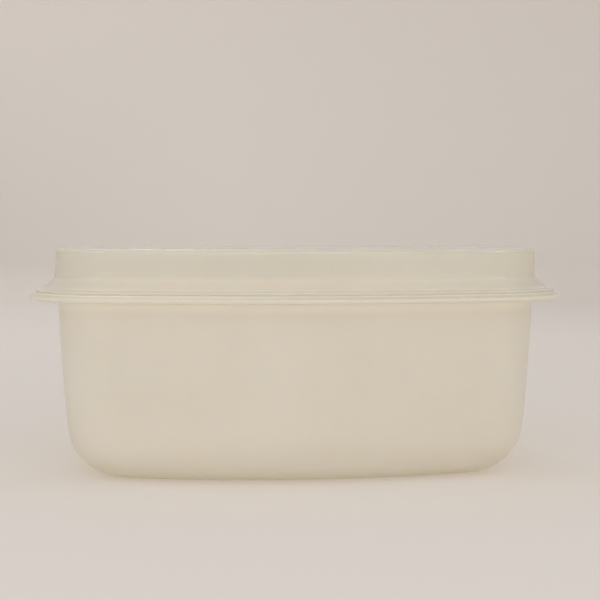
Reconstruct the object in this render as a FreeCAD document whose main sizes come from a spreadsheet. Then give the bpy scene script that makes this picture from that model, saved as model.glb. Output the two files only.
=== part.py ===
import FreeCAD, Part
import math
import os
import Sketcher

# A rectangular food storage container: a thin-walled tub with bowed sides, a deep rounded bottom edge
# and a sloping brim, closed by a press-on lid whose flat top stands up inside its own sloping brim. Both
# brims fall steeply from the wall to a bend, then gently to the edge: the tub's is turned down in a
# short lip, and the lid's carries a round bead.
# Millimetres. +Z is up, +X runs along the length, and the origin is the centre of the footprint.
#
# Every wall section is a rounded polygon swept round one plan outline. "Offset" below means the distance
# outwards from that outline, which is the outer face of the tub's collar.

SIZES = [
    # alias, value, meaning
    ("tub_length", 170.0, "collar, outside, along X"),
    ("tub_width", 114.0, "collar, outside, along Y"),
    ("long_side_radius", 212.0, "bow of the two long sides, in plan"),
    ("short_side_radius", 500.0, "bow of the two short sides, in plan"),
    ("corner_radius", 29.5, "upright corners, in plan"),
    ("tub_wall", 1.1, "thickness of the tub's walls and floor"),
    ("wall_bend_height", 41.0, "height at which the wall's draft changes"),
    ("wall_bend_inset", 0.9, "how far the wall has come in at the bend"),
    ("wall_foot_inset", 4.9, "how far the wall would have come in at the floor"),
    ("wall_bow_radius", 780.0, "largest upright bow that may blend the two drafts"),
    ("bottom_radius", 18.5, "outer radius between wall and floor"),
    ("corner_floor_radius", 2.5, "least plan radius left at the floor's corners"),
    ("rim_height", 69.75, "top of the brim where it leaves the collar"),
    ("collar_rise", 1.3, "collar above the root of the brim"),
    ("knee_reach", 4.0, "bend in the top of the tub's brim, outwards from the collar"),
    ("knee_drop", 4.0, "fall of the brim from the collar to the bend"),
    ("knee_shift", 0.3, "how far a bend on a brim's other face is moved, to keep the brim's thickness"),
    ("knee_radius", 0.8, "rounding of the bends"),
    ("brim_reach", 9.65, "outer edge of the tub's brim, outwards from the collar"),
    ("brim_drop", 6.1, "fall of the brim's top from the collar to its edge"),
    ("brim_depth", 1.2, "upright thickness of the tub's brim"),
    ("lip_height", 1.35, "bottom of the lip, below the top of the brim's edge"),
    ("lip_width", 1.1, "thickness of the lip along the edge of the tub's brim"),
    ("lip_round", 0.5, "upper edge of the lip"),
    ("brim_root_fillet", 1.2, "under the brim"),
    ("collar_fillet", 0.7, "between collar and brim"),
    ("edge_round", 0.4, "rounding of the thin edges"),
    ("lid_wall", 0.9, "thickness of the lid's top and wall"),
    ("lid_clearance", 0.12, "between the collar and the lid's wall"),
    ("lid_draft_start", 0.3, "start of the draft on the lid's inner wall, above the collar"),
    ("lid_draft", 0.4, "how far the lid's wall comes in from its foot to its top"),
    ("seat_gap", 0.1, "between the lid's edge bead and the tub's brim"),
    ("lid_top_rise", 10.35, "top of the lid above the root of the tub's brim"),
    ("lid_brim_depth", 1.0, "upright thickness of the lid's brim"),
    ("lid_bead_setback", 2.65, "middle of the lid's edge bead, inwards from the edge of the tub's brim"),
    ("lid_bead_radius", 0.6, "round bead along the edge of the lid's brim"),
    ("lid_foot_fillet", 1.2, "between the lid's wall and its brim"),
    ("lid_top_round", 1.6, "outer edge of the lid's flat top"),
    ("lid_top_land", 6.0, "width of the swept strip round the lid's flat top"),
]

# The wall's bow blends two straight lengths, and takes half its radius times its turn from each. Radius
# times turn is therefore at most twice the shorter length. It is kept under that, so that some straight
# is left on either side.
BOW_SHARE = 1.9


class Size:
    """A number together with the spreadsheet expression that it comes from."""

    def __init__(self, value, text):
        self.value = value
        self.text = text

    def __add__(self, other):
        return Size(self.value + other.value, f"({self.text} + {other.text})")

    def __sub__(self, other):
        return Size(self.value - other.value, f"({self.text} - {other.text})")

    def __mul__(self, other):
        return Size(self.value * other.value, f"({self.text} * {other.text})")

    def __truediv__(self, other):
        return Size(self.value / other.value, f"({self.text} / {other.text})")

    def __neg__(self):
        return Size(-self.value, f"(-{self.text})")


def number(value):
    return Size(value, str(value))


def smaller(first, second):
    return Size(min(first.value, second.value), f"min({first.text}; {second.text})")


def fill_sheet(document):
    """Write the driving sizes to the sheet and return them by alias."""
    sheet = document.addObject("Spreadsheet::Sheet", "sizes")
    found = {}
    for row, (alias, value, meaning) in enumerate(SIZES, start=1):
        sheet.set(f"A{row}", meaning)
        sheet.set(f"B{row}", str(value))
        sheet.setAlias(f"B{row}", alias)
        found[alias] = Size(value, f"sizes.{alias}")
    document.recompute()
    return found


def origin_plane(body, role):
    return next(feature for feature in body.Origin.OriginFeatures if feature.Role == role)


def add_sketch(body, name, role):
    sketch = body.newObject("Sketcher::SketchObject", name)
    sketch.AttachmentSupport = (origin_plane(body, role), "")
    sketch.MapMode = "FlatFace"
    return sketch


def bind(sketch, kind, places, size):
    """Add a dimension whose value follows the spreadsheet."""
    index = sketch.addConstraint(Sketcher.Constraint(kind, *places, size.value))
    sketch.setExpression(f"Constraints[{index}]", size.text)


def bind_position(sketch, point, place, across, up):
    """Hold a point of the sketch at two signed distances from the sketch's origin."""
    bind(sketch, "DistanceX", (-1, 1, point, place), across)
    bind(sketch, "DistanceY", (-1, 1, point, place), up)


# ---- plan outline -------------------------------------------------------------------------------

class Outline:
    """The plan outline of four bowed sides and four round corners, at one offset from the collar."""

    def __init__(self, size, offset):
        two = number(2)
        self.long_radius = size["long_side_radius"] + offset
        self.short_radius = size["short_side_radius"] + offset
        self.corner_radius = size["corner_radius"] + offset
        self.long_centre = size["tub_width"] / two - size["long_side_radius"]
        self.short_centre = size["tub_length"] / two - size["short_side_radius"]

    def corner_centre(self):
        """Centre of the corner arc that touches a long side and a short side from within."""
        to_long = self.long_radius.value - self.corner_radius.value
        to_short = self.short_radius.value - self.corner_radius.value
        long_y = self.long_centre.value
        short_x = self.short_centre.value
        apart = math.hypot(short_x, long_y)
        along = (to_long ** 2 - to_short ** 2 + apart ** 2) / (2 * apart)
        aside = math.sqrt(to_long ** 2 - along ** 2)
        toward = (short_x / apart, -long_y / apart)
        middle = (along * toward[0], long_y + along * toward[1])
        choices = [(middle[0] + turn * aside * toward[1], middle[1] - turn * aside * toward[0])
                   for turn in (1, -1)]
        return max(choices, key=min)


def arc(centre_x, centre_y, radius, start, end):
    circle = Part.Circle(FreeCAD.Vector(centre_x, centre_y, 0), FreeCAD.Vector(0, 0, 1), radius)
    return Part.ArcOfCircle(circle, start, end)


def draw_outline(body, name, outline):
    """Sketch the outline: sides and corners in turn, each tangent to the next."""
    sketch = add_sketch(body, name, "XY_Plane")
    corner_x, corner_y = outline.corner_centre()
    long_y = outline.long_centre.value
    short_x = outline.short_centre.value
    radius = outline.corner_radius.value
    steep = math.atan2(corner_y - long_y, corner_x)
    shallow = math.atan2(corner_y, corner_x - short_x)
    half = math.pi
    sketch.addGeometry([
        arc(0, long_y, outline.long_radius.value, steep, half - steep),
        arc(-corner_x, corner_y, radius, half - steep, half - shallow),
        arc(-short_x, 0, outline.short_radius.value, half - shallow, half + shallow),
        arc(-corner_x, -corner_y, radius, half + shallow, half + steep),
        arc(0, -long_y, outline.long_radius.value, half + steep, 2 * half - steep),
        arc(corner_x, -corner_y, radius, -steep, -shallow),
        arc(short_x, 0, outline.short_radius.value, -shallow, shallow),
        arc(corner_x, corner_y, radius, shallow, steep),
    ])
    back, left, front, right = 0, 2, 4, 6
    corners = (1, 3, 5, 7)
    for index in range(8):
        sketch.addConstraint(Sketcher.Constraint("Tangent", index, 2, (index + 1) % 8, 1))
    for corner in corners[1:]:
        sketch.addConstraint(Sketcher.Constraint("Equal", corners[0], corner))
    bind(sketch, "Radius", (corners[0],), outline.corner_radius)
    for side in (back, front):
        bind(sketch, "Radius", (side,), outline.long_radius)
    for side in (left, right):
        bind(sketch, "Radius", (side,), outline.short_radius)
    nought = number(0)
    bind_position(sketch, back, 3, nought, outline.long_centre)
    bind_position(sketch, front, 3, nought, -outline.long_centre)
    bind_position(sketch, right, 3, outline.short_centre, nought)
    bind_position(sketch, left, 3, -outline.short_centre, nought)
    return sketch


# ---- wall sections ------------------------------------------------------------------------------

def toward(start, end, distance):
    span = end - start
    return start + span * (distance / span.Length)


def draw_section(body, name, corners):
    """Sketch a closed polygon in the YZ plane. A corner is (y, z, radius), and radius None is sharp."""
    sketch = add_sketch(body, name, "YZ_Plane")
    points = [FreeCAD.Vector(across.value, up.value, 0) for across, up, _ in corners]
    count = len(corners)
    starts, ends, arcs = [], [], {}
    for index, (_, _, radius) in enumerate(corners):
        here = points[index]
        before = points[index - 1] - here
        after = points[(index + 1) % count] - here
        if radius is None:
            starts.append(here)
            ends.append(here)
            continue
        opening = before.getAngle(after)
        setback = radius.value / math.tan(opening / 2)
        bisector = before.normalize() + after.normalize()
        centre = here + bisector.normalize() * (radius.value / math.sin(opening / 2))
        enter = toward(here, points[index - 1], setback)
        leave = toward(here, points[(index + 1) % count], setback)
        ends.append(enter)
        starts.append(leave)
        arcs[index] = (centre, enter, leave)

    sides = [sketch.addGeometry(Part.LineSegment(starts[index], ends[(index + 1) % count]))
             for index in range(count)]
    for index, (across, up, radius) in enumerate(corners):
        side_in, side_out = sides[index - 1], sides[index]
        if radius is None:
            sketch.addConstraint(Sketcher.Constraint("Coincident", side_in, 2, side_out, 1))
            bind_position(sketch, side_out, 1, across, up)
            continue
        centre, enter, leave = arcs[index]
        angle_in = math.atan2(enter.y - centre.y, enter.x - centre.x)
        angle_out = math.atan2(leave.y - centre.y, leave.x - centre.x)
        turn = (angle_out - angle_in) % (2 * math.pi)
        if turn < math.pi:
            start, stop = angle_in, angle_in + turn
            first, last = 1, 2
        else:
            start, stop = angle_out, angle_out + 2 * math.pi - turn
            first, last = 2, 1
        rounding = sketch.addGeometry(arc(centre.x, centre.y, radius.value, start, stop))
        sketch.addConstraint(Sketcher.Constraint("Tangent", side_in, 2, rounding, first))
        sketch.addConstraint(Sketcher.Constraint("Tangent", rounding, last, side_out, 1))
        bind(sketch, "Radius", (rounding,), radius)
        peak = sketch.addGeometry(Part.Point(points[index]), True)
        bind_position(sketch, peak, 1, across, up)
        sketch.addConstraint(Sketcher.Constraint("PointOnObject", peak, 1, side_in))
        sketch.addConstraint(Sketcher.Constraint("PointOnObject", peak, 1, side_out))
    return sketch


def draw_circle(body, name, across, up, radius):
    sketch = add_sketch(body, name, "YZ_Plane")
    centre = FreeCAD.Vector(across.value, up.value, 0)
    circle = sketch.addGeometry(Part.Circle(centre, FreeCAD.Vector(0, 0, 1), radius.value))
    bind(sketch, "Radius", (circle,), radius)
    bind_position(sketch, circle, 3, across, up)
    return sketch


# ---- features -----------------------------------------------------------------------------------

def sweep(body, name, section, outline):
    pipe = body.newObject("PartDesign::AdditivePipe", name)
    pipe.Profile = (section, [""])
    pipe.Spine = (outline, [""])
    body.Document.recompute()
    return pipe


def raise_plate(body, name, outline, base, thickness):
    """A flat plate of the outline's shape, from height base upwards."""
    outline.setExpression("AttachmentOffset.Base.z", base.text)
    pad = body.newObject("PartDesign::Pad", name)
    pad.Profile = (outline, [""])
    pad.setExpression("Length", thickness.text)
    body.Document.recompute()
    return pad


class Brim:
    """The top of the tub's brim: a steep slope from the collar to the bend, then a gentle one."""

    def __init__(self, size):
        self.root = size["rim_height"]
        self.knee = size["knee_reach"]
        self.steep = size["knee_drop"] / size["knee_reach"]
        self.gentle = (size["brim_drop"] - size["knee_drop"]) / (size["brim_reach"] - size["knee_reach"])

    def gentle_height(self, offset):
        """Height of the gentle slope, carried on to an offset near the bend or beyond it."""
        return self.root - self.steep * self.knee - self.gentle * (offset - self.knee)

    def upright(self, distance):
        """The upright measure of a distance taken square to the gentle slope."""
        stretch = math.sqrt(1 + self.gentle.value ** 2)
        return distance * Size(stretch, f"sqrt(1 + pow({self.gentle.text}; 2))")


def root_height(size):
    """Height at which the underside of the tub's brim meets its wall."""
    return size["rim_height"] - size["brim_depth"] - Brim(size).steep * size["knee_shift"]


def bow_radius(size, bottom_radius):
    """The wall's upright bow, limited by the straight lengths on either side of the bend."""
    bend = size["wall_bend_height"]
    above = root_height(size) - bend
    turn = (size["wall_foot_inset"] - size["wall_bend_inset"]) / bend - size["wall_bend_inset"] / above
    room = smaller(bend - bottom_radius, above - size["brim_root_fillet"])
    return smaller(size["wall_bow_radius"], room * number(BOW_SHARE) / turn)


def make_tub(document, size):
    body = document.addObject("PartDesign::Body", "tub")
    nought = number(0)
    middle = size["tub_width"] / number(2)
    wall = size["tub_wall"]
    bottom_radius = smaller(
        size["bottom_radius"],
        size["corner_radius"] - size["wall_foot_inset"] - size["corner_floor_radius"])
    floor_edge = size["wall_foot_inset"] + bottom_radius
    bow = bow_radius(size, bottom_radius)
    brim = Brim(size)
    reach = size["brim_reach"]
    edge_top = brim.gentle_height(reach)
    lip_inside = reach - size["lip_width"]
    under_knee = brim.knee - size["knee_shift"]
    under_knee_height = brim.root - brim.steep * brim.knee - size["brim_depth"]
    collar_top = size["rim_height"] + size["collar_rise"]
    bend = size["wall_bend_height"]

    section = draw_section(body, "tub_section", [
        (middle - floor_edge, nought, None),
        (middle - size["wall_foot_inset"], nought, bottom_radius),
        (middle - size["wall_bend_inset"], bend, bow),
        (middle, root_height(size), size["brim_root_fillet"]),
        (middle + under_knee, under_knee_height, size["knee_radius"]),
        (middle + lip_inside, brim.gentle_height(lip_inside) - size["brim_depth"], None),
        (middle + lip_inside, edge_top - size["lip_height"], size["edge_round"]),
        (middle + reach, edge_top - size["lip_height"], size["edge_round"]),
        (middle + reach, edge_top, size["lip_round"]),
        (middle + brim.knee, brim.gentle_height(brim.knee), size["knee_radius"]),
        (middle, size["rim_height"], size["collar_fillet"]),
        (middle, collar_top, size["edge_round"]),
        (middle - wall, collar_top, size["edge_round"]),
        (middle - size["wall_bend_inset"] - wall, bend, bow - wall),
        (middle - size["wall_foot_inset"] - wall, wall, bottom_radius - wall),
        (middle - floor_edge, wall, None),
    ])
    outline = draw_outline(body, "tub_outline", Outline(size, nought))
    sweep(body, "tub_walls", section, outline)

    floor = draw_outline(body, "tub_floor_outline", Outline(size, -floor_edge))
    raise_plate(body, "tub_floor", floor, nought, wall)
    return body


def make_lid(document, size):
    body = document.addObject("PartDesign::Body", "lid")
    nought = number(0)
    middle = size["tub_width"] / number(2)
    wall = size["lid_wall"]
    inside = size["lid_clearance"]
    outside = inside + wall
    edge = size["brim_reach"] - size["lid_bead_setback"]
    top = size["rim_height"] + size["lid_top_rise"]
    draft_start = size["rim_height"] + size["collar_rise"] + size["lid_draft_start"]

    brim = Brim(size)
    half_depth = size["lid_brim_depth"] / number(2)
    lift = brim.upright(size["lid_bead_radius"] + size["seat_gap"])
    bead_height = brim.gentle_height(edge) + lift
    under_knee_height = brim.gentle_height(brim.knee) + lift - half_depth
    over_knee = brim.knee + size["knee_shift"]
    over_knee_height = brim.gentle_height(over_knee) + lift + half_depth

    section = draw_section(body, "lid_section", [
        (middle - size["lid_top_land"], top, None),
        (middle - size["lid_top_land"], top - wall, None),
        (middle + inside - size["lid_draft"], top - wall, size["lid_top_round"] - wall),
        (middle + inside, draft_start, None),
        (middle + inside, under_knee_height + brim.steep * (brim.knee - inside), size["edge_round"]),
        (middle + brim.knee, under_knee_height, size["knee_radius"]),
        (middle + edge, bead_height - half_depth, None),
        (middle + edge, bead_height + half_depth, None),
        (middle + over_knee, over_knee_height, size["knee_radius"]),
        (middle + outside, over_knee_height + brim.steep * (over_knee - outside), size["lid_foot_fillet"]),
        (middle + outside - size["lid_draft"], top, size["lid_top_round"]),
    ])
    outline = draw_outline(body, "lid_outline", Outline(size, nought))
    sweep(body, "lid_walls", section, outline)

    bead = draw_circle(body, "lid_bead_section", middle + edge, bead_height, size["lid_bead_radius"])
    sweep(body, "lid_bead", bead, outline)

    panel = draw_outline(body, "lid_panel_outline", Outline(size, -size["lid_top_land"]))
    raise_plate(body, "lid_panel", panel, top - wall, wall)
    return body


def check(document, parts):
    """Stop on any failed feature or unsound solid, so that nothing wrong is written."""
    for item in document.Objects:
        if "Invalid" in item.State or "Error" in item.State:
            raise RuntimeError(f"{item.Label} failed: {item.State}")
    for part in parts:
        if part.Shape.isNull() or not part.Shape.isValid() or len(part.Shape.Solids) != 1:
            raise RuntimeError(f"{part.Label} is not one sound solid")


def main():
    document = FreeCAD.newDocument("food_storage_container")
    size = fill_sheet(document)
    parts = [make_tub(document, size), make_lid(document, size)]
    document.recompute()
    check(document, parts)
    os.makedirs("parts", exist_ok=True)
    for part in parts:
        part.Shape.exportStep(f"parts/{part.Label}.step")
        box = part.Shape.BoundBox
        print(f"{part.Label}: {box.XLength:.1f} x {box.YLength:.1f} x {box.ZLength:.1f} mm, "
              f"{part.Shape.Volume / 1000:.1f} cm3")


main()
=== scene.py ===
import math

import bpy
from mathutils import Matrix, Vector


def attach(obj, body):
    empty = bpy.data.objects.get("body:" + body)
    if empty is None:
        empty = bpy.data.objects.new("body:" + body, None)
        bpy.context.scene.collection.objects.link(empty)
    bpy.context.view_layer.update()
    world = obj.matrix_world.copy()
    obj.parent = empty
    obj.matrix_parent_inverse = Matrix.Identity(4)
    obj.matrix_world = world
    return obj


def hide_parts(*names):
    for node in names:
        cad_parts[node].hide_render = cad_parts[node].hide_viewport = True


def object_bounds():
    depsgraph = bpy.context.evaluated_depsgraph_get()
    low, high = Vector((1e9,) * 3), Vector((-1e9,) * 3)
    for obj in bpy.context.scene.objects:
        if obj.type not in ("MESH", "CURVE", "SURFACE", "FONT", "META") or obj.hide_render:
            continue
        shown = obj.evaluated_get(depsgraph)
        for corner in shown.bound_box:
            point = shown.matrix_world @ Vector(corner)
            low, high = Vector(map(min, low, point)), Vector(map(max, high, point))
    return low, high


# A closed, empty food storage container of natural polypropylene: a milky tub and a thin, clearer lid.
# Metres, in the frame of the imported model: +Z up, +X along the container, the front facing -Y.

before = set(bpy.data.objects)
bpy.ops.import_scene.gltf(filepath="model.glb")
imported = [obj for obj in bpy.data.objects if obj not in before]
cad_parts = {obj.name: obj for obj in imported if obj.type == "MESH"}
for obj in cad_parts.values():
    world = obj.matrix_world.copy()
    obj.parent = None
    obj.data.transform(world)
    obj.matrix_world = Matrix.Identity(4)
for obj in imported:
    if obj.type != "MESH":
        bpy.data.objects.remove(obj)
cad_low, cad_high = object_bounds()


# ---- nodes --------------------------------------------------------------------------------------

class Shader:
    """A material's node tree, with short ways to add and join its nodes."""

    def __init__(self, name):
        self.material = bpy.data.materials.new(name)
        self.material.use_nodes = True
        self.tree = self.material.node_tree
        self.surface = self.tree.nodes["Principled BSDF"]
        self.place = self.add("ShaderNodeTexCoord").outputs["Object"]

    def add(self, kind, **values):
        """A new node, its inputs set by name, or joined where the value is another node's output."""
        node = self.tree.nodes.new(kind)
        for name, value in values.items():
            self.put(node.inputs[name.replace("_", " ")], value)
        return node

    def put(self, socket, value):
        if isinstance(value, bpy.types.NodeSocket):
            self.tree.links.new(value, socket)
        else:
            socket.default_value = value

    def noise(self, scale, detail=2.0):
        return self.add("ShaderNodeTexNoise", Vector=self.place, Scale=scale, Detail=detail).outputs["Fac"]

    def spread(self, value, low, high, from_low=0.0, from_high=1.0):
        """A value moved from one range to another."""
        node = self.add("ShaderNodeMapRange", Value=value)
        node.inputs["From Min"].default_value = from_low
        node.inputs["From Max"].default_value = from_high
        node.inputs["To Min"].default_value = low
        node.inputs["To Max"].default_value = high
        return node.outputs["Result"]

    def blend(self, share, first, second):
        node = self.tree.nodes.new("ShaderNodeMix")
        node.data_type = "RGBA"
        self.put(node.inputs["Factor"], share)
        self.put(node.inputs["A"], first)
        self.put(node.inputs["B"], second)
        return node.outputs["Result"]

    def bump(self, height, distance, strength=1.0, under=None):
        node = self.add("ShaderNodeBump", Height=height, Strength=strength, Distance=distance)
        if under is not None:
            self.put(node.inputs["Normal"], under)
        return node.outputs["Normal"]

    def position(self, axis):
        """Where a point lies on the X, Y or Z axis, in metres."""
        return self.add("ShaderNodeSeparateXYZ", Vector=self.place).outputs[axis]

    def band(self, start, low, high, end):
        """1 between the inner two heights, fading to 0 at the outer two."""
        rise = self.spread(self.position("Z"), 0.0, 1.0, start, low)
        fall = self.spread(self.position("Z"), 1.0, 0.0, high, end)
        node = self.add("ShaderNodeMath")
        node.operation = "MULTIPLY"
        self.put(node.inputs[0], rise)
        self.put(node.inputs[1], fall)
        return node.outputs["Value"]

    def clouded(self, pale, deep):
        """Two shades of a colour, in soft clouds."""
        cloud = self.noise(24.0, detail=3.0)
        return self.blend(self.spread(cloud, 0.0, 1.0, 0.35, 0.65), pale, deep)

    def finish(self, **values):
        for name, value in values.items():
            self.put(self.surface.inputs[name.replace("_", " ")], value)
        return self.material

    def pass_lamps(self, share):
        """Let a share of the lamps' light, a little yellowed, straight through each face."""
        clear = self.add("ShaderNodeBsdfTransparent")
        clear.inputs["Color"].default_value = (share, share * 0.985, share * 0.95, 1.0)
        path = self.add("ShaderNodeLightPath")
        mix = self.add("ShaderNodeMixShader")
        self.put(mix.inputs["Fac"], path.outputs["Is Shadow Ray"])
        self.put(mix.inputs[1], self.surface.outputs["BSDF"])
        self.put(mix.inputs[2], clear.outputs["BSDF"])
        self.put(self.tree.nodes["Material Output"].inputs["Surface"], mix.outputs["Shader"])


# ---- plastics -----------------------------------------------------------------------------------

# Where a plastic's colour is painted lighter or darker for light and shade: the heights, in metres, at
# which a band starts, is full, is still full and ends. The rim's edges carry painted shade, deeper than
# the plain walls, and the creases between them carry painted light, paler than the walls.
UNDER_BRIM_PAINTED_LIGHT = (0.0580, 0.0605, 0.0613, 0.0618)
LIP_SIDE_PAINTED_SHADE = (0.0618, 0.0622, 0.0633, 0.0636)
LIP_TOP_PAINTED_SHADE = (0.0633, 0.0636, 0.0643, 0.0647)
UNDER_LID_PAINTED_LIGHT = (0.0643, 0.0647, 0.0655, 0.0665)
BEAD_UNDERSIDE_PAINTED_LIGHT = (0.0640, 0.0642, 0.0649, 0.0652)
BEAD_PAINTED_SHADE = (0.0649, 0.0652, 0.0657, 0.0660)
BEAD_CREASE_PAINTED_LIGHT = (0.0657, 0.0660, 0.0665, 0.0669)
LID_BRIM_PAINTED_SHADE = (0.0660, 0.0666, 0.0685, 0.0705)
LID_TOP_BEND_PAINTED_SHADE = (0.0782, 0.0788, 0.07985, 0.07998)


def tub_plastic():
    """Milky polypropylene: light passes into the wall and comes out again, slightly yellow."""
    shader = Shader("tub_plastic")
    # Painted light: paler under the brim and in the gap beneath the lid, where shade falls.
    crease_painted_light = (0.69, 0.655, 0.602, 1.0)
    # Painted shade: the lip's side and top deeper, to hold down the light they catch.
    lip_side_painted_shade = (0.562, 0.533, 0.483, 1.0)
    lip_top = (0.505, 0.478, 0.43, 1.0)
    # Painted light: the bottom round paler, to lift the shade on its downward face.
    bottom_painted_light = (0.675, 0.642, 0.588, 1.0)
    colour = shader.clouded(pale=(0.636, 0.603, 0.554, 1.0), deep=(0.616, 0.583, 0.53, 1.0))
    # Painted light and shade, in bands by height, over the cloudy plastic.
    colour = shader.blend(shader.band(*UNDER_BRIM_PAINTED_LIGHT), colour, crease_painted_light)
    colour = shader.blend(shader.band(*UNDER_LID_PAINTED_LIGHT), colour, crease_painted_light)
    colour = shader.blend(shader.band(*LIP_SIDE_PAINTED_SHADE), colour, lip_side_painted_shade)
    colour = shader.blend(shader.band(*LIP_TOP_PAINTED_SHADE), colour, lip_top)
    # Painted light, full below 3 mm and gone by 16 mm up.
    painted_light_low_down = shader.spread(shader.position("Z"), 1.0, 0.0, 0.003, 0.016)
    colour = shader.blend(painted_light_low_down, colour, bottom_painted_light)
    peel = shader.bump(shader.noise(900.0), 0.00002, strength=0.5)
    wave = shader.bump(shader.noise(60.0, detail=1.0), 0.0002, strength=0.3, under=peel)
    rough = shader.spread(shader.noise(140.0, detail=3.0), 0.32, 0.42)
    shader.pass_lamps(0.98)
    return shader.finish(Base_Color=colour, Roughness=rough, Normal=wave, IOR=1.49,
                         Subsurface_Weight=1.0, Subsurface_Radius=(1.0, 0.9, 0.6),
                         Subsurface_Scale=0.004, Specular_IOR_Level=0.25)


def lid_plastic():
    """The same plastic, thinner and clearer."""
    shader = Shader("lid_plastic")
    # Painted shade: the lid's brim deeper, to hold down the light it catches.
    brim_painted_shade = (0.585, 0.54, 0.484, 1.0)
    # Painted light: the bead's underside and the crease behind the bead paler, to lift the shade in them.
    bead_underside_painted_light = (0.74, 0.695, 0.63, 1.0)
    bead_crease_painted_light = (0.65, 0.61, 0.553, 1.0)
    # Painted shade: the bead and the bend round the top deeper, to hold down the light they catch.
    bead = (0.52, 0.49, 0.44, 1.0)
    top_bend_painted_shade = (0.57, 0.54, 0.485, 1.0)
    colour = shader.clouded(pale=(0.635, 0.60, 0.54, 1.0), deep=(0.615, 0.58, 0.515, 1.0))
    # Painted light and shade, in bands by height, over the cloudy plastic.
    colour = shader.blend(shader.band(*LID_BRIM_PAINTED_SHADE), colour, brim_painted_shade)
    colour = shader.blend(shader.band(*BEAD_UNDERSIDE_PAINTED_LIGHT), colour, bead_underside_painted_light)
    colour = shader.blend(shader.band(*BEAD_CREASE_PAINTED_LIGHT), colour, bead_crease_painted_light)
    colour = shader.blend(shader.band(*BEAD_PAINTED_SHADE), colour, bead)
    colour = shader.blend(shader.band(*LID_TOP_BEND_PAINTED_SHADE), colour, top_bend_painted_shade)
    peel = shader.bump(shader.noise(900.0), 0.000002, strength=0.2)
    wave = shader.bump(shader.noise(50.0, detail=1.0), 0.00002, strength=0.3, under=peel)
    rough = shader.spread(shader.noise(140.0, detail=3.0), 0.17, 0.23)
    shader.pass_lamps(0.98)
    return shader.finish(Base_Color=colour, Roughness=rough, Normal=wave, IOR=1.49,
                         Subsurface_Weight=1.0, Subsurface_Radius=(1.0, 0.9, 0.6),
                         Subsurface_Scale=0.004, Transmission_Weight=0.15,
                         Specular_IOR_Level=0.35)


# ---- shapes -------------------------------------------------------------------------------------

MM = 0.001

# Plan outline of the tub's collar, in millimetres, and the points along each of its arcs.
LONG_SIDE_RADIUS = 212.0
SHORT_SIDE_RADIUS = 500.0
CORNER_RADIUS = 29.5
LONG_SIDE_POINTS = 56
SHORT_SIDE_POINTS = 32
CORNER_POINTS = 30

# Profiles, in millimetres. Offsets, reaches and insets are measured level from the collar's outline.
TUB_WALL = 1.1
WALL_BEND_HEIGHT = 41.0
WALL_BEND_INSET = 0.9
WALL_BOW_RADIUS = 660.0    # where the wall bends
WALL_FOOT_INSET = 4.9
BOTTOM_RADIUS = 18.5
RIM_HEIGHT = 69.75         # where the tub's brim leaves its collar
COLLAR_RISE = 1.3          # collar above the brim
KNEE_REACH = 4.0           # where the brim bends from steep to gentle
KNEE_DROP = 4.0
KNEE_SHIFT = 0.3           # between the bends of a brim's top and underside
KNEE_RADIUS = 0.8
BRIM_REACH = 9.65          # edge of the tub's brim
BRIM_DROP = 6.1
BRIM_DEPTH = 1.2
BRIM_ROOT_FILLET = 1.2
LIP_HEIGHT = 1.35
LIP_WIDTH = 1.1
LIP_ROUND = 0.5
COLLAR_FILLET = 0.7
EDGE_ROUND = 0.4
LID_WALL = 0.9
LID_CLEARANCE = 0.12
LID_DRAFT = 0.4            # lean of the lid's wall
LID_DRAFT_START = 0.3      # above the collar
LID_BEND_RADIUS = 30.0     # where the lean starts
LID_TOP_RISE = 10.35       # above the rim
LID_TOP_ROUND = 1.6
LID_TOP_LAND = 6.0         # flat ring round the top, inside the outline
LID_BRIM_DEPTH = 1.0
LID_FOOT_FILLET = 1.2
BEAD_SETBACK = 2.65        # from the edge of the tub's brim to the bead's middle
BEAD_RADIUS = 0.6
SEAT_GAP = 0.1             # between the bead and the tub's brim

STEEP = KNEE_DROP / KNEE_REACH
GENTLE = (BRIM_DROP - KNEE_DROP) / (BRIM_REACH - KNEE_REACH)
ARC_STEP = 0.16            # rad, between the points of a rounded corner
LONGEST_PIECE = 3.0        # between two points of a profile


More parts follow.
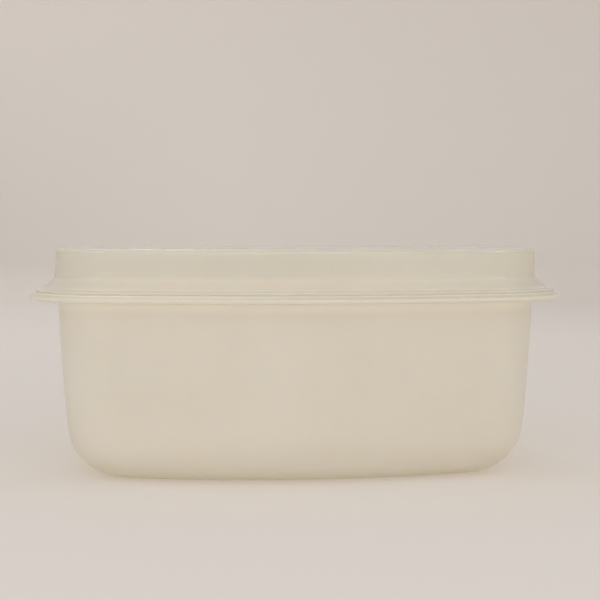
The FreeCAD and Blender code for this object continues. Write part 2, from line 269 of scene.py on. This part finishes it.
def outline_points(half_length, half_width):
    """The collar's plan outline, as points with the direction outwards: four bows, four corners."""
    long_y = half_width - LONG_SIDE_RADIUS
    short_x = half_length - SHORT_SIDE_RADIUS
    to_long = LONG_SIDE_RADIUS - CORNER_RADIUS
    to_short = SHORT_SIDE_RADIUS - CORNER_RADIUS
    apart = math.hypot(short_x, long_y)
    along = (to_long ** 2 - to_short ** 2 + apart ** 2) / (2 * apart)
    aside = math.sqrt(to_long ** 2 - along ** 2)
    toward = (short_x / apart, -long_y / apart)
    middle = (along * toward[0], long_y + along * toward[1])
    corner_x, corner_y = max(((middle[0] + turn * aside * toward[1], middle[1] - turn * aside * toward[0])
                              for turn in (1, -1)), key=min)
    steep = math.atan2(corner_y - long_y, corner_x)
    shallow = math.atan2(corner_y, corner_x - short_x)
    half_turn = math.pi
    arcs = [
        (0.0, long_y, LONG_SIDE_RADIUS, steep, half_turn - steep, LONG_SIDE_POINTS),
        (-corner_x, corner_y, CORNER_RADIUS, half_turn - steep, half_turn - shallow, CORNER_POINTS),
        (-short_x, 0.0, SHORT_SIDE_RADIUS, half_turn - shallow, half_turn + shallow, SHORT_SIDE_POINTS),
        (-corner_x, -corner_y, CORNER_RADIUS, half_turn + shallow, half_turn + steep, CORNER_POINTS),
        (0.0, -long_y, LONG_SIDE_RADIUS, half_turn + steep, 2 * half_turn - steep, LONG_SIDE_POINTS),
        (corner_x, -corner_y, CORNER_RADIUS, -steep, -shallow, CORNER_POINTS),
        (short_x, 0.0, SHORT_SIDE_RADIUS, -shallow, shallow, SHORT_SIDE_POINTS),
        (corner_x, corner_y, CORNER_RADIUS, shallow, steep, CORNER_POINTS),
    ]
    points = []
    for centre_x, centre_y, radius, start, end, steps in arcs:
        for step in range(steps):
            angle = start + (end - start) * step / steps
            out_x, out_y = math.cos(angle), math.sin(angle)
            points.append((centre_x + radius * out_x, centre_y + radius * out_y, out_x, out_y))
    return points


def arc_points(centre, radius, start, turn):
    steps = max(3, math.ceil(abs(turn) / ARC_STEP))
    return [(centre[0] + radius * math.cos(start + turn * step / steps),
             centre[1] + radius * math.sin(start + turn * step / steps)) for step in range(steps + 1)]


def angle_from(centre, point):
    return math.atan2(point[1] - centre[1], point[0] - centre[0])


def round_corner(before, corner, after, radius):
    """The points of the arc that rounds off one corner of a profile."""
    to_before = math.hypot(before[0] - corner[0], before[1] - corner[1])
    to_after = math.hypot(after[0] - corner[0], after[1] - corner[1])
    ray_in = ((before[0] - corner[0]) / to_before, (before[1] - corner[1]) / to_before)
    ray_out = ((after[0] - corner[0]) / to_after, (after[1] - corner[1]) / to_after)
    opening = math.acos(ray_in[0] * ray_out[0] + ray_in[1] * ray_out[1])
    setback = radius / math.tan(opening / 2)
    middle = (ray_in[0] + ray_out[0], ray_in[1] + ray_out[1])
    reach = radius / math.sin(opening / 2) / math.hypot(*middle)
    centre = (corner[0] + middle[0] * reach, corner[1] + middle[1] * reach)
    enter = (corner[0] + ray_in[0] * setback, corner[1] + ray_in[1] * setback)
    leave = (corner[0] + ray_out[0] * setback, corner[1] + ray_out[1] * setback)
    start = angle_from(centre, enter)
    turn = (angle_from(centre, leave) - start + math.pi) % (2 * math.pi) - math.pi
    return arc_points(centre, radius, start, turn)


def bead_points(before, under, over, after, centre, radius):
    """A bead at a brim's edge: into it along the underside, round it, and back along the top."""
    def meet(start, end):
        """Where the line from start to end enters the bead."""
        length = math.hypot(end[0] - start[0], end[1] - start[1])
        way = ((end[0] - start[0]) / length, (end[1] - start[1]) / length)
        gap = (centre[0] - start[0], centre[1] - start[1])
        level = gap[0] * way[0] + gap[1] * way[1]
        aside = gap[0] * way[1] - gap[1] * way[0]
        depth = level - math.sqrt(radius ** 2 - aside ** 2)
        return (start[0] + way[0] * depth, start[1] + way[1] * depth)
    start = angle_from(centre, meet(before, under))
    end = angle_from(centre, meet(after, over))
    return arc_points(centre, radius, start, (end - start) % (2 * math.pi))


def profile_points(corners):
    """A profile from (offset, height, radius) corners; a corner may also be a ready list of points."""
    chain = []
    for index, corner in enumerate(corners):
        if isinstance(corner, list):
            chain.extend(corner)
        elif corner[2] is None:
            chain.append(corner[:2])
        else:
            before, after = corners[index - 1], corners[index + 1]
            before = before[-1] if isinstance(before, list) else before[:2]
            after = after[0] if isinstance(after, list) else after[:2]
            chain.extend(round_corner(before, corner[:2], after, corner[2]))
    points = [chain[0]]
    for end in chain[1:]:
        start = points[-1]
        length = math.hypot(end[0] - start[0], end[1] - start[1])
        pieces = max(1, math.ceil(length / LONGEST_PIECE))
        points.extend((start[0] + (end[0] - start[0]) * step / pieces,
                       start[1] + (end[1] - start[1]) * step / pieces) for step in range(1, pieces + 1))
    return points


def swept_shell(name, profile, outline):
    """One closed mesh: the profile swept round the outline, its two ends filled in to the middle."""
    count = len(outline)
    rings = [(1.0, offset, up) for offset, up in profile]
    shares = (0.05, 0.3, 0.55, 0.8, 0.97)
    rings = ([(share, *profile[0]) for share in shares] + rings
             + [(share, *profile[-1]) for share in reversed(shares)])
    points = [(0.0, 0.0, profile[0][1] * MM)]
    for share, offset, up in rings:
        for x, y, out_x, out_y in outline:
            points.append((share * (x + offset * out_x) * MM, share * (y + offset * out_y) * MM, up * MM))
    points.append((0.0, 0.0, profile[-1][1] * MM))
    last = len(points) - 1
    faces = []
    for index in range(count):
        following = (index + 1) % count
        faces.append((0, 1 + following, 1 + index))
        for ring in range(len(rings) - 1):
            here = 1 + ring * count
            faces.append((here + index, here + following, here + count + following, here + count + index))
        faces.append((last, last - count + index, last - count + following))
    mesh = bpy.data.meshes.new(name)
    mesh.from_pydata(points, [], faces)
    mesh.shade_smooth()
    shell = bpy.data.objects.new(name, mesh)
    bpy.context.scene.collection.objects.link(shell)
    return shell


def gentle_height(reach):
    """The height of the top of the tub's brim, beyond its bend."""
    return RIM_HEIGHT - KNEE_DROP - GENTLE * (reach - KNEE_REACH)


def tub_profile():
    """From the middle of the underside, round the brim and the collar, to the middle of the floor."""
    floor_end = -WALL_FOOT_INSET - BOTTOM_RADIUS
    lip_inside = BRIM_REACH - LIP_WIDTH
    lip_top = RIM_HEIGHT - BRIM_DROP
    lip_bottom = lip_top - LIP_HEIGHT
    knee_height = RIM_HEIGHT - KNEE_DROP
    root_height = RIM_HEIGHT - BRIM_DEPTH - STEEP * KNEE_SHIFT
    collar_top = RIM_HEIGHT + COLLAR_RISE
    return profile_points([
        (floor_end, 0.0, None),
        (-WALL_FOOT_INSET, 0.0, BOTTOM_RADIUS),
        (-WALL_BEND_INSET, WALL_BEND_HEIGHT, WALL_BOW_RADIUS),
        (0.0, root_height, BRIM_ROOT_FILLET),
        (KNEE_REACH - KNEE_SHIFT, knee_height - BRIM_DEPTH, KNEE_RADIUS),
        (lip_inside, gentle_height(lip_inside) - BRIM_DEPTH, None),
        (lip_inside, lip_bottom, EDGE_ROUND),
        (BRIM_REACH, lip_bottom, EDGE_ROUND),
        (BRIM_REACH, lip_top, LIP_ROUND),
        (KNEE_REACH, knee_height, KNEE_RADIUS),
        (0.0, RIM_HEIGHT, COLLAR_FILLET),
        (0.0, collar_top, EDGE_ROUND),
        (-TUB_WALL, collar_top, EDGE_ROUND),
        (-WALL_BEND_INSET - TUB_WALL, WALL_BEND_HEIGHT, WALL_BOW_RADIUS - TUB_WALL),
        (-WALL_FOOT_INSET - TUB_WALL, TUB_WALL, BOTTOM_RADIUS - TUB_WALL),
        (floor_end, TUB_WALL, None),
    ])


def lid_profile():
    """From the middle of the lid's underside, round its bead, to the middle of its top."""
    bead_reach = BRIM_REACH - BEAD_SETBACK
    bead_lift = (BEAD_RADIUS + SEAT_GAP) * math.hypot(1.0, GENTLE)
    bead_height = gentle_height(bead_reach) + bead_lift
    brim_lift = bead_lift - LID_BRIM_DEPTH / 2       # the lid's brim above the tub's
    under_knee = (KNEE_REACH, gentle_height(KNEE_REACH) + brim_lift)
    over_reach = KNEE_REACH + KNEE_SHIFT
    over_knee = (over_reach, gentle_height(over_reach) + brim_lift + LID_BRIM_DEPTH)
    bead = bead_points(under_knee, (bead_reach, bead_height - LID_BRIM_DEPTH / 2),
                       (bead_reach, bead_height + LID_BRIM_DEPTH / 2), over_knee,
                       (bead_reach, bead_height), BEAD_RADIUS)
    inside = LID_CLEARANCE
    outside = LID_CLEARANCE + LID_WALL
    draft_start = RIM_HEIGHT + COLLAR_RISE + LID_DRAFT_START
    top = RIM_HEIGHT + LID_TOP_RISE
    return profile_points([
        (-LID_TOP_LAND, top - LID_WALL, None),
        (inside - LID_DRAFT, top - LID_WALL, LID_TOP_ROUND - LID_WALL),
        (inside, draft_start, LID_BEND_RADIUS),
        (inside, under_knee[1] + STEEP * (KNEE_REACH - inside), EDGE_ROUND),
        (*under_knee, KNEE_RADIUS),
        bead,
        (*over_knee, KNEE_RADIUS),
        (outside, over_knee[1] + STEEP * (over_reach - outside), LID_FOOT_FILLET),
        (outside - LID_DRAFT, top, LID_TOP_ROUND),
        (-LID_TOP_LAND, top, None),
    ])


def dress(node, shell, material):
    """Show a piece of the model by its own finely rounded mesh."""
    shell.data.materials.append(material)
    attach(shell, "root")
    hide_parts(node)


outline = outline_points(cad_high[0] / MM - BRIM_REACH, cad_high[1] / MM - BRIM_REACH)
dress("tub", swept_shell("tub_shell", tub_profile(), outline), tub_plastic())
dress("lid", swept_shell("lid_shell", lid_profile(), outline), lid_plastic())


# ---- stage --------------------------------------------------------------------------------------

def round_sweep(floor_radius, sweep_radius, wall_height, segments=96, steps=16):
    """A floor that turns up all round into a wall, as one seamless surface."""
    profile = [(0.0, 0.0), (floor_radius * 0.25, 0.0), (floor_radius, 0.0)]
    for step in range(1, steps + 1):
        angle = 0.5 * math.pi * step / steps
        profile.append((floor_radius + sweep_radius * math.sin(angle),
                        sweep_radius * (1 - math.cos(angle))))
    profile.append((floor_radius + sweep_radius, wall_height))
    points = [(0.0, 0.0, 0.0)]
    for radius, up in profile[1:]:
        for index in range(segments):
            turn = 2 * math.pi * index / segments
            points.append((radius * math.cos(turn), radius * math.sin(turn), up))
    faces = [(0, 1 + index, 1 + (index + 1) % segments) for index in range(segments)]
    for ring in range(len(profile) - 2):
        inner = 1 + ring * segments
        for index in range(segments):
            following = (index + 1) % segments
            faces.append((inner + index, inner + segments + index,
                          inner + segments + following, inner + following))
    mesh = bpy.data.meshes.new("sweep")
    mesh.from_pydata(points, [], faces)
    mesh.shade_smooth()
    sweep = bpy.data.objects.new("sweep", mesh)
    bpy.context.scene.collection.objects.link(sweep)
    return sweep


def sweep_paper():
    """Matt paper, with painted shade on the near floor and low down on the left of the wall, and painted
    light on the far floor.
    """
    shader = Shader("sweep_paper")
    paper = (0.735, 0.685, 0.64, 1.0)
    left_wall_painted_shade = (0.635, 0.585, 0.54, 1.0)
    near_floor_painted_shade = (0.705, 0.658, 0.616, 1.0)
    far_floor_painted_light = (0.775, 0.725, 0.678, 1.0)
    height = shader.position("Z")
    # Painted shade low down on the left of the wall; on the floor, painted shade near and painted light
    # far.
    left = shader.blend(shader.spread(height, 0.0, 1.0, 0.1, 0.4), left_wall_painted_shade, paper)
    wall = shader.blend(shader.spread(shader.position("X"), 1.0, 0.0, -0.5, 0.05), paper, left)
    floor = shader.blend(shader.spread(shader.position("Y"), 0.0, 1.0, 0.05, 0.6), near_floor_painted_shade, far_floor_painted_light)
    colour = shader.blend(shader.spread(height, 0.0, 1.0, 0.002, 0.04), floor, wall)
    grain = shader.spread(shader.noise(900.0), 0.86, 0.94)
    return shader.finish(Base_Color=colour, Roughness=grain, Specular_IOR_Level=0.1)


sweep = round_sweep(floor_radius=1.3, sweep_radius=0.5, wall_height=0.9)
sweep.data.materials.append(sweep_paper())


# ---- light --------------------------------------------------------------------------------------

def soft_lamp(name, place, aim, width, height, watts):
    data = bpy.data.lights.new(name, "AREA")
    data.shape = "RECTANGLE"
    data.size = width
    data.size_y = height
    data.energy = watts
    lamp = bpy.data.objects.new(name, data)
    bpy.context.scene.collection.objects.link(lamp)
    lamp.location = place
    direction = lamp.location - type(lamp.location)(aim)
    lamp.rotation_euler = direction.to_track_quat("Z", "Y").to_euler()
    lamp.visible_camera = False
    return lamp


CONTAINER = (0.0, 0.0, 0.05)
soft_lamp("top_light", (0.0, 0.0, 1.5), CONTAINER, width=1.4, height=1.0, watts=0.8)
soft_lamp("back_light", (-0.25, 0.95, 1.3), (-0.05, 1.1, 0.0), width=0.8, height=0.5, watts=4.6)
soft_lamp("front_light", (-0.2, -1.4, 0.65), (0.0, 0.3, 0.05), width=2.4, height=0.6, watts=14.0)
soft_lamp("left_light", (-0.95, -0.35, 0.75), CONTAINER, width=0.2, height=0.2, watts=2.4)
soft_lamp("right_light", (0.95, -0.35, 0.75), CONTAINER, width=0.2, height=0.2, watts=2.4)

world = bpy.data.worlds.new("studio")
world.use_nodes = True
world.node_tree.nodes["Background"].inputs["Color"].default_value = (1.0, 0.99, 0.975, 1.0)
world.node_tree.nodes["Background"].inputs["Strength"].default_value = 0.42
bpy.context.scene.world = world


# ---- camera -------------------------------------------------------------------------------------

SENSOR = 36.0          # mm
LENS = 90.0            # mm
DISTANCE = 0.5536      # from the origin, level
CAMERA_HEIGHT = 0.08685
SIDE_TURN = 0.0947     # rad, how far the camera stands to the left of square
PAN = 0.0050           # rad, past the origin to the left
PITCH = 0.0473         # rad, downwards

camera_data = bpy.data.cameras.new("camera")
camera_data.sensor_width = SENSOR
camera_data.lens = LENS
camera_data.clip_start = 0.01
camera = bpy.data.objects.new("camera", camera_data)
bpy.context.scene.collection.objects.link(camera)
camera.location = (-DISTANCE * math.sin(SIDE_TURN), -DISTANCE * math.cos(SIDE_TURN), CAMERA_HEIGHT)
camera.rotation_euler = (0.5 * math.pi - PITCH, 0.0, -(SIDE_TURN + PAN))
bpy.context.scene.camera = camera
bpy.context.scene.view_settings.view_transform = "Standard"
